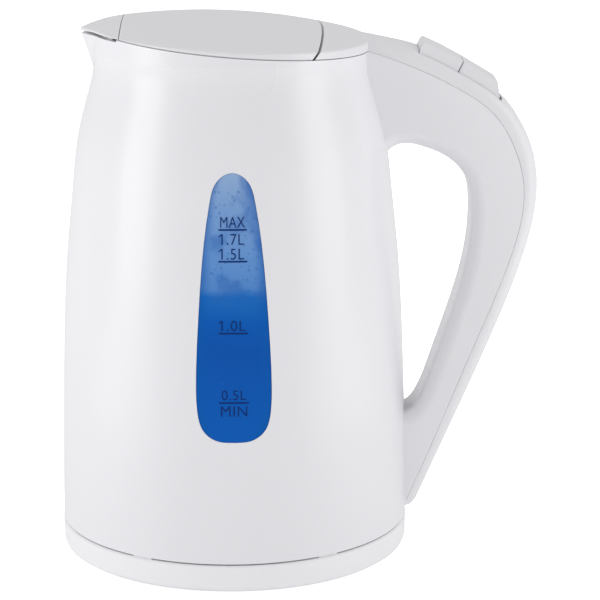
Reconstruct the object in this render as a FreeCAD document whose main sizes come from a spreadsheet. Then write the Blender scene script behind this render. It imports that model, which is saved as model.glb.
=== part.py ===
import FreeCAD, Part
import math
import os
import Sketcher

# Electric kettle on its power base, in millimetres.
# +Z is up, -X is the spout side, +X is the handle side, and the origin is at the
# centre of the circle that the base's feet stand on, on the jug's axis.

Vector = FreeCAD.Vector
Rotation = FreeCAD.Rotation
Placement = FreeCAD.Placement

doc = FreeCAD.newDocument("Kettle")
sheet = doc.addObject("Spreadsheet::Sheet", "Sizes")

SIZES = {
    # power base
    "base_radius": 78.6,
    "base_top": 13.6,
    "base_wall": 2.2,
    "base_lift": 1.2,
    "base_edge_round": 2.6,
    "base_rim_width": 9.0,
    "base_deck_height": 12.2,
    "foot_radius": 56.0,
    "foot_width": 6.0,
    "screw_circle": 40.0,
    "screw_radius": 1.5,
    "screw_head_radius": 2.9,
    # round connector between base and jug
    "post_radius": 16.0,
    "post_top": 27.4,
    "post_groove_inner": 12.3,
    "post_groove_outer": 14.6,
    "post_bore": 4.0,
    "socket_radius": 19.6,
    "socket_clearance": 0.6,
    "socket_roof": 3.0,
    "contact_thickness": 0.7,
    # jug barrel
    "seam_gap": 0.8,
    "jug_wall": 2.5,
    "floor_top": 58.0,
    "floor_thickness": 1.2,
    "ledge_inner_radius": 69.0,
    "bottom_cover_radius": 75.4,
    # tilted rim between barrel and domed top
    "rim_height": 232.8,
    "rim_tilt": 4.86,
    "rim_gap": 0.5,
    "rim_bevel": 1.6,
    "mouth_gap": 1.1,
    "mouth_side_x": -60.0,
    "mouth_side_z": 236.8,
    "mouth_tip_z": 235.7,
    # domed top
    "dome_radius": 285.0,
    "dome_peak": 241.95,
    "dome_peak_x": -14.4,
    "dome_edge_round": 1.0,
    "top_wall": 2.2,
    # beak
    "beak_nose": 6.0,
    "beak_foot_z": 221.0,
    "beak_foot_reach": 61.3,
    "beak_lip_z": 236.0,
    "beak_lip_reach": 66.2,
    # seams across the top
    "front_seam_x": -48.0,
    "front_seam_gap": 0.35,
    "rear_seam_x": 34.3,
    "rear_seam_z": 229.9,
    "rear_seam_lean": 38.8,
    "rear_seam_gap": 1.3,
    # handle
    "grip_half_width": 14.0,
    "grip_edge_round": 6.0,
    "grip_foot_rise": 4.2,
    "grip_wall": 2.4,
    "cover_gap": 0.12,
    # filling hole, lid plug and hinge, in the rim's own tilted frame
    "hole_offset": -7.0,
    "hole_radius": 38.5,
    "collar_depth": 10.0,
    "frame_radius": 58.5,
    "hinge_u": 52.0,
    "hinge_w": -1.2,
    "hinge_pin_radius": 1.4,
    "hinge_boss_radius": 2.8,
    "running_gap": 0.05,
    # pad on top of the handle
    "pad_half_width": 11.0,
    "pad_gap": 0.4,
    "button_length": 19.0,
    "rocker_pivot_x": 109.0,
    "rocker_pivot_z": 206.0,
    "rocker_pin_radius": 1.2,
    "trip_pivot_x": 106.0,
    "trip_pivot_z": 194.5,
}

# Radius and height of the barrel's outline, from the seam with the base to the rim.
BARREL = [(78.3, 14.4), (78.2, 29.0), (77.9, 46.0), (77.6, 62.0), (76.2, 105.0), (74.3, 136.0),
          (71.2, 166.0), (68.0, 191.0), (63.6, 208.0), (61.0, 219.0), (61.3, 228.0)]
# Handle in side view: its outer line, the finger hole, and the line where the cover ends.
GRIP_OUTER = [(40.0, 235.8), (50.0, 234.5), (60.0, 232.8), (70.0, 230.7), (79.0, 228.6), (100.0, 218.8),
              (120.5, 204.9), (133.6, 182.0), (135.6, 162.0), (129.5, 133.0), (113.5, 91.0), (94.9, 48.2),
              (83.4, 22.0)]
GRIP_HOLE = [(68.0, 178.5), (71.0, 184.0), (76.0, 185.8), (85.0, 184.2), (97.0, 178.4), (104.3, 169.0),
             (106.3, 157.0), (104.8, 136.0), (98.8, 112.0), (89.4, 84.0), (83.6, 69.0), (79.5, 63.5),
             (75.0, 62.0)]
COVER_EDGE = [(60.0, 227.7), (70.0, 224.4), (87.0, 217.4), (102.3, 209.4), (113.5, 201.5), (124.6, 185.0),
              (129.4, 165.0), (124.7, 137.0), (107.7, 93.0), (89.3, 47.5), (78.2, 21.5)]
# Half of the window's outline: half width and height, from its lowest to its highest point.
WINDOW = [(0.0, 69.1), (8.0, 70.0), (13.2, 74.0), (15.7, 82.0), (16.2, 93.0), (15.1, 120.0),
          (12.6, 152.0), (9.6, 173.0), (6.4, 181.7), (0.0, 185.2)]


def fill_sheet():
    """Writes every driving dimension and outline station into the sheet."""
    row = 1
    cells = dict(SIZES)
    outlines = {"barrel": BARREL, "grip_outer": GRIP_OUTER, "grip_hole": GRIP_HOLE,
                "cover_edge": COVER_EDGE, "window": WINDOW}
    for name, points in outlines.items():
        for number, (across, height) in enumerate(points):
            cells["%s_across_%d" % (name, number)] = across
            cells["%s_height_%d" % (name, number)] = height
    for alias, value in cells.items():
        sheet.set("A%d" % row, alias)
        sheet.set("B%d" % row, str(value))
        sheet.setAlias("B%d" % row, alias)
        row += 1
    doc.recompute()


class Size:
    """A length together with the sheet expression that gives it."""

    def __init__(self, value, text):
        self.value = value
        self.text = text

    def combine(self, other, sign, reverse=False):
        other = as_size(other)
        left, right = (other, self) if reverse else (self, other)
        results = {"+": lambda: left.value + right.value, "-": lambda: left.value - right.value,
                   "*": lambda: left.value * right.value, "/": lambda: left.value / right.value}
        return Size(results[sign](), "(%s %s %s)" % (left.text, sign, right.text))

    def __add__(self, other):
        return self.combine(other, "+")

    def __radd__(self, other):
        return self.combine(other, "+", True)

    def __sub__(self, other):
        return self.combine(other, "-")

    def __rsub__(self, other):
        return self.combine(other, "-", True)

    def __mul__(self, other):
        return self.combine(other, "*")

    def __rmul__(self, other):
        return self.combine(other, "*", True)

    def __truediv__(self, other):
        return self.combine(other, "/")

    def __neg__(self):
        return Size(-self.value, "(0 - %s)" % self.text)


def as_size(number):
    if isinstance(number, Size):
        return number
    return Size(float(number), repr(float(number)))


def size(alias):
    return Size(float(sheet.get(alias)), "Sizes." + alias)


def mm(alias):
    """The plain value of a driving dimension, for shapes that are computed here."""
    return float(sheet.get(alias))


def outline(name, count):
    return [(mm("%s_across_%d" % (name, i)), mm("%s_height_%d" % (name, i))) for i in range(count)]


# ---------------------------------------------------------------- feature helpers

pieces = []


def piece(thing, label):
    """Registers an object of the document as a sub-part."""
    for other in doc.getObjectsByLabel(label):
        other.Label = label + "_blank"
    thing.Label = label
    pieces.append(thing)
    return thing


def bind(thing, **lengths):
    for prop, length in lengths.items():
        thing.setExpression(prop.replace("__", "."), as_size(length).text)


def put(thing, x=0.0, y=0.0, z=0.0, axis=None, angle=0.0):
    """Places an object, with its position bound to the sheet."""
    rotation = Rotation(axis, angle) if axis else Rotation()
    thing.Placement = Placement(Vector(as_size(x).value, as_size(y).value, as_size(z).value), rotation)
    bind(thing, Placement__Base__x=x, Placement__Base__y=y, Placement__Base__z=z)
    return thing


def new(kind, name):
    return doc.addObject(kind, name)


def drawn(body, role, points):
    """A closed straight-sided sketch whose corners are bound to the sheet."""
    sketch = body.newObject("Sketcher::SketchObject", body.Name + "_sketch")
    plane = [f for f in body.Origin.OriginFeatures if f.Role == role][0]
    sketch.AttachmentSupport = [(plane, "")]
    sketch.MapMode = "FlatFace"
    corners = [(as_size(a), as_size(b)) for a, b in points]
    count = len(corners)
    for i in range(count):
        here, after = corners[i], corners[(i + 1) % count]
        start = Vector(here[0].value, here[1].value, 0)
        end = Vector(after[0].value, after[1].value, 0)
        sketch.addGeometry(Part.LineSegment(start, end), False)
    for i in range(count):
        sketch.addConstraint(Sketcher.Constraint("Coincident", i, 2, (i + 1) % count, 1))
    for i, (across, along) in enumerate(corners):
        for kind, length in (("DistanceX", across), ("DistanceY", along)):
            index = sketch.addConstraint(Sketcher.Constraint(kind, -1, 1, i, 1, length.value))
            sketch.setExpression("Constraints[%d]" % index, length.text)
    return sketch


def turned(name, points, edge_round=None):
    """A body turned about Z from (radius, height) corners."""
    body = new("PartDesign::Body", name)
    sketch = drawn(body, "XZ_Plane", points)
    spin = body.newObject("PartDesign::Revolution", name + "_turn")
    spin.Profile = sketch
    spin.ReferenceAxis = (sketch, ["V_Axis"])
    spin.Angle = 360
    if edge_round:
        doc.recompute()
        radius, test = edge_round
        names = ["Edge%d" % (i + 1) for i, edge in enumerate(spin.Shape.Edges) if test(edge)]
        rounding = body.newObject("PartDesign::Fillet", name + "_round")
        rounding.Base = (spin, names)
        bind(rounding, Radius=radius)
    return body


def rod(name, radius, length, x=0.0, y=0.0, z=0.0, axis=None, angle=0.0):
    cylinder = new("Part::Cylinder", name)
    bind(cylinder, Radius=radius, Height=length)
    return put(cylinder, x, y, z, axis, angle)


def block(name, x, y, z):
    """A box between the two given limits on each axis."""
    box = new("Part::Box", name)
    (x0, x1), (y0, y1), (z0, z1) = x, y, z
    bind(box, Length=as_size(x1) - x0, Width=as_size(y1) - y0, Height=as_size(z1) - z0)
    return put(box, x0, y0, z0)


def cut(name, base, tools):
    result = base
    for number, tool in enumerate(tools):
        step = new("Part::Cut", "%s_cut%d" % (name, number))
        step.Base = result
        step.Tool = tool
        result = step
    return result


def joined(name, parts):
    fusion = new("Part::MultiFuse", name + "_union")
    fusion.Shapes = parts
    return fusion


def shaped(name, shape):
    """A sub-part whose shape is computed below."""
    feature = new("Part::Feature", name)
    feature.Shape = shape
    return feature


# ---------------------------------------------------------------- computed outlines

def smooth(points):
    spline = Part.BSplineCurve()
    spline.interpolate([Vector(across, 0, height) for across, height in points])
    return spline


def beside(points, distance):
    """Stations moved by a distance square to the smooth line through them."""
    spline = smooth(points)
    moved = []
    for across, height in points:
        tangent = spline.tangent(spline.parameter(Vector(across, 0, height)))[0]
        moved.append((across + tangent.z * distance, height - tangent.x * distance))
    return moved


def closed_wire(spline, corners):
    """A wire of one curve and the straight lines that close it."""
    edges = [spline.toShape()]
    ends = [spline.EndPoint] + [Vector(x, 0, z) for x, z in corners] + [spline.StartPoint]
    for start, end in zip(ends, ends[1:]):
        edges.append(Part.makeLine(start, end))
    return Part.Wire(edges)


def slab(wire, half_width):
    """A wire in the XZ plane, extruded both ways along Y."""
    solid = Part.Face(wire).extrude(Vector(0, 2 * half_width, 0))
    solid.translate(Vector(0, -half_width, 0))
    return solid


TALL = 260.0     # height safely above the whole kettle


def barrel(inset):
    """The barrel as a full solid, moved inwards by the inset and carried straight up.

    A barrel that is moved inwards also runs on a little below the seam, so that it
    hollows out the whole skirt.
    """
    line = smooth(beside(outline("barrel", len(BARREL)), -inset))
    foot, neck = line.StartPoint, line.EndPoint
    low = foot.z - (3.0 if inset else 0.0)
    corners = [(neck.x, TALL), (0, TALL), (0, low)] + ([(foot.x, low)] if inset else [])
    wire = closed_wire(line, corners)
    return Part.Face(wire).revolve(Vector(0, 0, 0), Vector(0, 0, 1), 360)


def beak_section(reach, height, inset, barrel_radius):
    """The pointed plan of the beak at one height: a round nose and two tangent sides."""
    nose = mm("beak_nose") - inset
    neck = barrel_radius - inset
    centre = -(reach - mm("beak_nose"))
    swing = math.acos((neck - nose) / -centre)
    side = Vector(-neck * math.cos(swing), -neck * math.sin(swing), height)
    turn = Vector(centre - nose * math.cos(swing), -nose * math.sin(swing), height)
    tip = Vector(centre - nose, 0, height)
    far_side = Vector(side.x, -side.y, height)
    far_turn = Vector(turn.x, -turn.y, height)
    return Part.Wire([Part.makeLine(side, turn), Part.Arc(turn, tip, far_turn).toShape(),
                      Part.makeLine(far_turn, far_side), Part.makeLine(far_side, side)])


def beak(inset):
    neck_radius = mm("barrel_across_10")
    low = beak_section(mm("beak_foot_reach"), mm("beak_foot_z"), inset, neck_radius - 0.3)
    lip = beak_section(mm("beak_lip_reach"), mm("beak_lip_z"), inset, neck_radius)
    high = beak_section(mm("beak_lip_reach"), TALL, inset, neck_radius)
    return Part.makeLoft([low, lip], True, True).fuse(Part.makeLoft([lip, high], True, True))


def dome_ball(inset):
    radius = mm("dome_radius")
    centre = Vector(mm("dome_peak_x"), 0, mm("dome_peak") - radius)
    return Part.makeSphere(radius - inset, centre)


def pot(inset, top_inset, edge_round=0.0):
    """Barrel, beak and dome as one solid, moved inwards by the insets."""
    solid = barrel(inset).fuse(beak(inset)).removeSplitter().common(dome_ball(top_inset))
    if edge_round:
        dome = [face for face in solid.Faces if isinstance(face.Surface, Part.Sphere)][0]
        solid = solid.makeFillet(edge_round, dome.OuterWire.Edges)
    return solid


GRIP_ROOT = 30.0     # X of the handle's closing line, well inside the barrel


def grip_hole(inset):
    line = smooth(beside(outline("grip_hole", len(GRIP_HOLE)), -inset))
    low, high = line.EndPoint, line.StartPoint
    return slab(closed_wire(line, [(GRIP_ROOT, low.z), (GRIP_ROOT, high.z)]), mm("base_radius"))


def grip(inset):
    """The handle in side view, as wide as the grip, with its finger hole."""
    line = smooth(beside(outline("grip_outer", len(GRIP_OUTER)), inset))
    low, high = line.EndPoint, line.StartPoint
    foot_z = mm("base_top") + mm("seam_gap") + mm("grip_foot_rise") + inset
    toe = Vector(low.x - 6.0, 0, foot_z)
    heel = Part.Arc(low, Vector(low.x - 2.0, 0, foot_z + 1.4), toe).toShape()
    wire = Part.Wire([line.toShape(), heel, Part.makeLine(toe, Vector(GRIP_ROOT, 0, foot_z)),
                      Part.makeLine(Vector(GRIP_ROOT, 0, foot_z), Vector(GRIP_ROOT, 0, high.z)),
                      Part.makeLine(Vector(GRIP_ROOT, 0, high.z), high)])
    return slab(wire, mm("grip_half_width") - inset).cut(grip_hole(inset))


def rounded_grip():
    solid = grip(0.0)
    half_width = mm("grip_half_width")
    edges = []
    for edge in solid.Edges:
        middle = edge.valueAt((edge.FirstParameter + edge.LastParameter) / 2)
        if isinstance(edge.Curve, Part.BSplineCurve) and abs(abs(middle.y) - half_width) < 0.001:
            edges.append(edge)
    return solid.makeFillet(mm("grip_edge_round"), edges)


def rim_z(x):
    return mm("rim_height") - x * math.tan(math.radians(mm("rim_tilt")))


COVER_ROOT = 42.0    # X up to which the rim's parting plane runs before the handle's line


def top_region(lift):
    """Everything above the rim and outside the handle's parting line, as a wide slab.

    The lift raises it square to the rim, and by a smaller share along the handle, where
    the parting line is a close joint.
    """
    share = mm("cover_gap") / mm("rim_gap")
    line = smooth(beside(outline("cover_edge", len(COVER_EDGE)), -lift * share))
    end = line.EndPoint
    far = 160.0
    seam_x, side_x = mm("front_seam_x"), mm("mouth_side_x")
    corners = [(end.x + 4.0, 0.0), (far, 0.0), (far, TALL), (-far, TALL), (-far, mm("mouth_tip_z") + lift),
               (-mm("beak_lip_reach"), mm("mouth_tip_z") + lift), (side_x, mm("mouth_side_z") + lift),
               (seam_x, rim_z(seam_x) + lift), (COVER_ROOT, rim_z(COVER_ROOT) + lift)]
    bevel, neck = mm("rim_bevel"), mm("barrel_across_10") - lift / 2
    step = Part.makeCone(neck - bevel, neck + 0.5, bevel + 0.5, Vector(0, 0, lift - bevel))
    step = in_rim_frame(step).cut(front_seam(0.0))
    return slab(closed_wire(line, corners), far).fuse(step)


def front_seam(shift):
    """Everything in front of the upright seam between spout cover and lid."""
    far = 300.0
    return Part.makeBox(far, far, 2 * TALL, Vector(mm("front_seam_x") + shift - far, -far / 2, 0))


def behind_rear_seam(shift):
    """Half space behind the leaning seam between lid and rear cover."""
    far = 400.0
    half = Part.makeBox(far, far, far, Vector(0, -far / 2, -far / 2))
    half.rotate(Vector(0, 0, 0), Vector(0, 1, 0), mm("rear_seam_lean"))
    half.translate(Vector(mm("rear_seam_x") + shift, 0, mm("rear_seam_z")))
    return half


fill_sheet()
# The tilted frame of the rim: u towards the handle, v = Y, w square to the rim.
RIM_FRAME = Placement(Vector(0, 0, mm("rim_height")), Rotation(Vector(0, 1, 0), mm("rim_tilt")))


def in_rim_frame(shape):
    moved = shape.copy()
    moved.Placement = RIM_FRAME.multiply(moved.Placement)
    return moved


def world_from_rim(u, v, w):
    return RIM_FRAME.multVec(Vector(u, v, w))


def half_arch(points):
    """Curve through the points on one side, level where it meets the middle plane at each end."""
    mirrored = [Vector(-point.x, 0, point.z) for point in points]
    curve = Part.BSplineCurve()
    curve.interpolate(mirrored[3:0:-1] + points + mirrored[-2:-5:-1])
    curve.segment(curve.parameter(points[0]), curve.parameter(points[-1]))
    return curve


def window_wire(grow):
    """The window's outline, moved outwards by grow, as two halves that meet at its top and foot."""
    points = [Vector(x, 0, z) for x, z in outline("window", len(WINDOW))]
    half = half_arch(points)
    moved = []
    for point in points:
        tangent = half.tangent(half.parameter(point))[0]
        moved.append(point + Vector(tangent.z, 0, -tangent.x) * grow)
    moved[0].x = moved[-1].x = 0.0
    right = half_arch(moved).toShape()
    left = right.mirror(Vector(0, 0, 0), Vector(1, 0, 0))
    return Part.Wire([right, left])


def window_prism(grow, side):
    reach = side * mm("base_radius") * 1.2
    return Part.Face(window_wire(grow)).extrude(Vector(0, reach, 0))


# ---------------------------------------------------------------- power base

def base_shell():
    radius, top, wall = size("base_radius"), size("base_top"), size("base_wall")
    lift, deck = size("base_lift"), size("base_deck_height")
    rim = radius - size("base_rim_width")
    post = size("post_radius") + 0.4
    collar = post + 2.6
    corner = size("base_edge_round")
    body = turned("base_shell", [
        (post, deck - wall), (post, top + 1.8), (collar, top + 1.8), (collar + 1.0, deck),
        (rim - 2.0, deck), (rim, top), (radius - 0.7, top), (radius, top - 0.7),
        (radius - 0.3, lift + corner), (radius - 1.0, lift + corner * 0.4), (radius - corner, lift),
        (radius - corner - 1.0, lift), (radius - corner - 1.0, lift + wall),
        (radius - wall, lift + wall + 1.6), (radius - wall, top - wall), (rim, top - wall),
        (rim - 2.0, deck - wall)])
    gland_slot = block("gland_slot", (-5.2, 5.2), (radius - 8.0, radius + 2.0), (lift - 0.1, lift + 6.9))
    return piece(cut("base_shell", body, [gland_slot]), "base_shell")


def base_pads():
    """Four low rests on the base's rim that the jug's skirt stands over."""
    radius, top = size("base_radius"), size("base_top")
    for number, angle in enumerate((-121.6, -58.4, 58.4, 121.6)):
        rest = new("Part::Box", "rest%d" % number)
        bind(rest, Length=5.0, Width=9.4, Height=size("seam_gap") - 0.3)
        turn = Rotation(Vector(0, 0, 1), angle)
        corner = turn.multVec(Vector(mm("base_radius") - 6.2, -4.7, mm("base_top")))
        rest.Placement = Placement(corner, turn)
        piece(rest, "base_rest_%d" % (number + 1))


def base_plate():
    radius, lift = size("base_radius"), size("base_lift")
    plate_radius = radius - size("base_edge_round") - 1.3
    thickness = 1.8
    inner, outer = size("foot_radius") - size("foot_width"), size("foot_radius")
    body = turned("base_plate", [
        (0, lift), (inner - 0.05, lift), (inner - 0.05, lift + 0.6), (outer + 0.05, lift + 0.6),
        (outer + 0.05, lift), (plate_radius, lift), (plate_radius, lift + thickness), (0, lift + thickness)])
    tools = [block("plate_notch", (-5.3, 5.3), (plate_radius - 8.0, plate_radius + 1.0), (0, 5.0))]
    for number in range(3):
        angle = math.radians(30 + 120 * number)
        east = size("screw_circle") * math.cos(angle)
        north = size("screw_circle") * math.sin(angle)
        tools.append(rod("screw_hole%d" % number, size("screw_radius") + 0.1, 5.0, east, north, 0.0))
        sink_radius = size("screw_head_radius") + 0.1
        tools.append(rod("screw_sink%d" % number, sink_radius, 1.0, east, north, lift - 0.2))
    piece(cut("base_plate", body, tools), "base_plate")


def base_foot():
    """Rubber ring that the whole kettle stands on."""
    outer, lift = size("foot_radius"), size("base_lift")
    inner = outer - size("foot_width")
    ring = turned("base_foot", [(inner, lift + 0.6), (inner, 0.4), (inner + 0.4, 0), (outer - 0.4, 0),
                                (outer, 0.4), (outer, lift + 0.6)])
    piece(ring, "base_foot")


def base_screws():
    lift, deck, wall = size("base_lift"), size("base_deck_height"), size("base_wall")
    for number in range(3):
        angle = math.radians(30 + 120 * number)
        east = size("screw_circle") * math.cos(angle)
        north = size("screw_circle") * math.sin(angle)
        head = lift + 0.8
        screw = turned("base_screw%d" % number, [
            (0, lift + 0.2), (size("screw_head_radius"), lift + 0.2), (size("screw_head_radius"), head),
            (size("screw_radius"), head), (size("screw_radius"), deck - wall - 0.6), (0, deck - wall - 0.6)])
        put(screw, east, north, 0.0)
        piece(screw, "base_screw_%d" % (number + 1))
        tube = turned("base_boss%d" % number, [
            (size("screw_radius"), lift + 1.9), (size("screw_radius") + 1.9, lift + 1.9),
            (size("screw_radius") + 1.9, deck - wall), (size("screw_radius"), deck - wall)])
        put(tube, east, north, 0.0)
        piece(tube, "base_boss_%d" % (number + 1))


def connector_post():
    """Round post with an annular groove and a central bore, and its three contacts."""
    radius, top = size("post_radius"), size("post_top")
    inner, outer, bore = size("post_groove_inner"), size("post_groove_outer"), size("post_bore")
    floor = size("base_lift") + 2.6
    deck = size("base_deck_height") - size("base_wall") - 0.1
    groove_floor = top - 12.0
    body = turned("connector_post", [
        (bore, floor), (radius + 4.0, floor), (radius + 4.0, deck), (radius, deck), (radius, top - 0.8),
        (radius - 0.6, top), (outer, top), (outer, groove_floor), (inner, groove_floor), (inner, top),
        (bore + 1.0, top), (bore, top - 1.0)])
    piece(body, "connector_post")
    thick = size("contact_thickness")
    live = turned("live_contact", [(bore - thick, floor), (bore - 0.05, floor), (bore - 0.05, groove_floor),
                                   (bore - thick, groove_floor)])
    piece(live, "live_contact")
    for label, near, height in (("neutral_contact", inner + 0.1, 2.0),
                                ("earth_contact", outer - thick - 0.1, 5.0)):
        ring = turned(label, [(near, groove_floor + 0.1), (near + thick, groove_floor + 0.1),
                              (near + thick, groove_floor + height), (near, groove_floor + height)])
        piece(ring, label)


def base_wiring():
    lift = size("base_lift")
    radius = size("base_radius")
    floor = lift + 1.9
    terminal = block("terminal_block", (-11.0, 11.0), (28.0, 40.0), (floor, floor + 6.0))
    screws = [rod("terminal_hole%d" % i, 1.7, 4.0, -7.0 + 7.0 * i, 34.0, floor + 3.0) for i in range(3)]
    piece(cut("terminal_block", terminal, screws), "terminal_block")
    body = block("gland_body", (-5.0, 5.0), (radius - 10.5, radius + 1.2), (lift + 0.3, lift + 6.7))
    rounded = new("Part::Fillet", "gland_rounded")
    rounded.Base = body
    doc.recompute()
    rounded.Edges = [(i + 1, 2.2, 2.2) for i, edge in enumerate(body.Shape.Edges)
                     if abs(edge.tangentAt(edge.FirstParameter).y) > 0.9]
    hole = rod("gland_bore", 2.2, 20.0, 0.0, radius + 4.0, lift + 3.5, Vector(1, 0, 0), 90)
    piece(cut("cord_gland", rounded, [hole]), "cord_gland")
    paths = ((-3.0, -7.0), (0.0, 0.0), (3.0, 7.0))
    for number, (across, inner_across) in enumerate(paths):
        start = Vector(inner_across, 27.6, mm("base_lift") + 4.4)
        end = Vector(inner_across, 20.4, mm("base_lift") + 4.4)
        wire = Part.makeCylinder(0.9, (end - start).Length, start, end - start)
        piece(shaped("base_wire%d" % number, wire), "base_wire_%d" % (number + 1))


# ---------------------------------------------------------------- coupler under the jug

def coupler_socket():
    """Round female half of the connector, the same all the way round."""
    outer, gap = size("socket_radius"), size("socket_clearance")
    inner = size("post_radius") + gap
    foot, top = size("base_top") + 2.6, size("post_top") + gap
    roof = top + size("socket_roof")
    body = turned("coupler_socket", [
        (0, top), (inner, top), (inner, foot), (outer, foot), (outer, roof - 1.5), (outer - 1.5, roof),
        (0, roof)])
    piece(body, "coupler_socket")
    thick = size("contact_thickness")
    middle = (size("post_groove_inner") + size("post_groove_outer")) / 2.0
    ring = turned("coupler_ring", [(middle - thick / 2.0, top - 7.0), (middle + thick / 2.0, top - 7.0),
                                   (middle + thick / 2.0, top), (middle - thick / 2.0, top)])
    piece(ring, "coupler_ring")
    pin = turned("coupler_pin", [(0, top - 9.0), (1.2, top - 9.0), (2.0, top - 8.2), (2.0, top), (0, top)])
    piece(pin, "coupler_pin")


# ---------------------------------------------------------------- jug

def jug_body():
    wall = mm("jug_wall")
    outside = pot(0.0, 0.0, mm("dome_edge_round")).fuse(rounded_grip())
    inside = pot(wall, mm("top_wall"))
    solid = outside.cut(inside)
    solid = solid.cut(grip(mm("grip_wall")).cut(barrel(0.0)))
    gap = mm("rim_gap") / 2
    solid = solid.cut(top_region(-gap))
    # the pouring slot leaves the barrel's edge lower all round under the spout cover
    solid = solid.cut(top_region(-mm("mouth_gap")).common(front_seam(-1.0)))
    for side in (-1, 1):
        solid = solid.cut(window_prism(0.0, side))
    # ledge that the element plate is clamped up against
    ledge_top = mm("floor_top") + 1.4
    outer = mm("barrel_across_3") - wall + 0.6
    ledge = Part.makeCylinder(outer, 2.0, Vector(0, 0, ledge_top - 2.0))
    ledge = ledge.cut(Part.makeCylinder(mm("ledge_inner_radius"), 4.0, Vector(0, 0, ledge_top - 3.0)))
    solid = solid.fuse(ledge)
    # port from the top of the jug into the handle, for steam and for the latch
    port = Part.makeBox(12.0, 14.0, 9.0, Vector(53.0, -7.0, 215.5))
    solid = solid.cut(port)
    solid = max(solid.Solids, key=lambda s: s.Volume)
    piece(shaped("jug_body", solid), "jug_body")


def water_windows():
    wall, recess, flange = mm("jug_wall"), 0.25, 1.5
    skin = barrel(recess).cut(barrel(wall))
    backing = barrel(wall).cut(barrel(wall + flange))
    pane = skin.common(window_prism(-0.1, -1))
    edge = backing.common(window_prism(4.0, -1))
    window = pane.fuse(edge).removeSplitter().Solids[0]
    for label, turn in (("water_window_near", 0.0), ("water_window_far", 180.0)):
        feature = shaped(label, window)
        feature.Placement = Placement(Vector(0, 0, 0), Rotation(Vector(0, 0, 1), turn))
        piece(feature, label)


def element_parts():
    top, thick = size("floor_top"), size("floor_thickness")
    ledge_foot = top - 0.6
    seal_thick = 1.2
    flange_top = ledge_foot - seal_thick
    outer = 72.8
    plate = turned("element_plate", [
        (0, top - thick), (65.0, top - thick), (66.2, flange_top - thick), (outer, flange_top - thick),
        (outer, flange_top), (67.2, flange_top), (66.0, top), (0, top)])
    piece(plate, "element_plate")
    inner = size("ledge_inner_radius") + 0.4
    seal = turned("element_seal", [(inner, flange_top), (outer, flange_top), (outer, ledge_foot),
                                   (inner, ledge_foot)])
    piece(seal, "element_seal")
    clamp_top = flange_top - thick
    clamp = turned("element_clamp", [(67.6, clamp_top - 3.0), (75.0, clamp_top - 3.0), (75.0, clamp_top),
                                     (67.6, clamp_top)])
    piece(clamp, "element_clamp")
    tube, ring_radius = 3.2, 46.0
    ring = new("Part::Torus", "element_ring")
    bind(ring, Radius1=ring_radius, Radius2=tube)
    ring.Angle3 = 320
    put(ring, 0, 0, top - thick - tube - 0.05, Vector(0, 0, 1), 110)
    ends = []
    for number, angle in enumerate((70.0, 110.0)):
        ends.append(rod("cold_pin%d" % number, 1.9, 10.0, ring_radius * math.cos(math.radians(angle)),
                        ring_radius * math.sin(math.radians(angle)), top - thick - tube - 12.0))
    piece(joined("heating_element", [ring] + ends), "heating_element")


def control_parts():
    top = size("floor_top") - size("floor_thickness")
    cavity = size("socket_radius") + 0.9
    roof = size("post_top") + size("socket_clearance") + size("socket_roof") + 1.4
    height = top - 6.6
    body = turned("control_block", [
        (cavity, 23.4), (30.0, 23.4), (30.0, height), (10.5, height), (10.5, top - 0.7), (9.0, top - 0.7),
        (9.0, height - 3.0), (0, height - 3.0), (0, roof), (cavity, roof)])
    flats = [block("control_flat_a", (-40.0, -26.0), (-40.0, 40.0), (20.0, 60.0)),
             block("control_flat_b", (26.0, 40.0), (-40.0, 40.0), (20.0, 60.0))]
    piece(cut("control_block", body, flats), "control_block")
    disc = turned("dry_boil_disc", [(0, top - 0.65), (8.6, top - 1.0), (8.6, top - 0.6), (0, top - 0.25)])
    piece(disc, "dry_boil_disc")


def bottom_cover():
    foot = size("base_top") + size("seam_gap") + 0.2
    hole = size("socket_radius") + 0.6
    rim = size("bottom_cover_radius")
    thick = 2.0
    body = turned("jug_bottom_cover", [
        (hole, foot + 1.6), (hole + 2.0, foot + 1.6), (hole + 6.0, foot), (rim, foot), (rim, foot + 6.0),
        (rim - thick, foot + 6.0), (rim - thick, foot + thick), (hole + 6.4, foot + thick),
        (hole + 2.4, foot + 1.6 + thick), (hole + 1.8, foot + 8.0), (hole, foot + 8.0)])
    tools = []
    for number in range(3):
        angle = math.radians(90 + 120 * number)
        east = size("screw_circle") * math.cos(angle)
        north = size("screw_circle") * math.sin(angle)
        tools.append(rod("cover_hole%d" % number, size("screw_radius") + 0.1, 8.0, east, north, foot - 1.0))
    piece(cut("jug_bottom_cover", body, tools), "jug_bottom_cover")
    for number in range(3):
        angle = math.radians(90 + 120 * number)
        head = foot + thick
        screw = turned("cover_screw%d" % number, [
            (0, foot + 0.2), (size("screw_radius"), foot + 0.2), (size("screw_radius"), head + 0.05),
            (size("screw_head_radius"), head + 0.05), (size("screw_head_radius"), head + 1.6),
            (0, head + 1.6)])
        put(screw, size("screw_circle") * math.cos(angle), size("screw_circle") * math.sin(angle), 0.0)
        piece(screw, "jug_screw_%d" % (number + 1))


# ---------------------------------------------------------------- domed top

def dome_shell():
    """The whole domed top above the rim, handle cover included, before the seams divide it."""
    outside = pot(0.0, 0.0, mm("dome_edge_round")).fuse(rounded_grip())
    return outside.common(top_region(mm("rim_gap") / 2))


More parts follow.
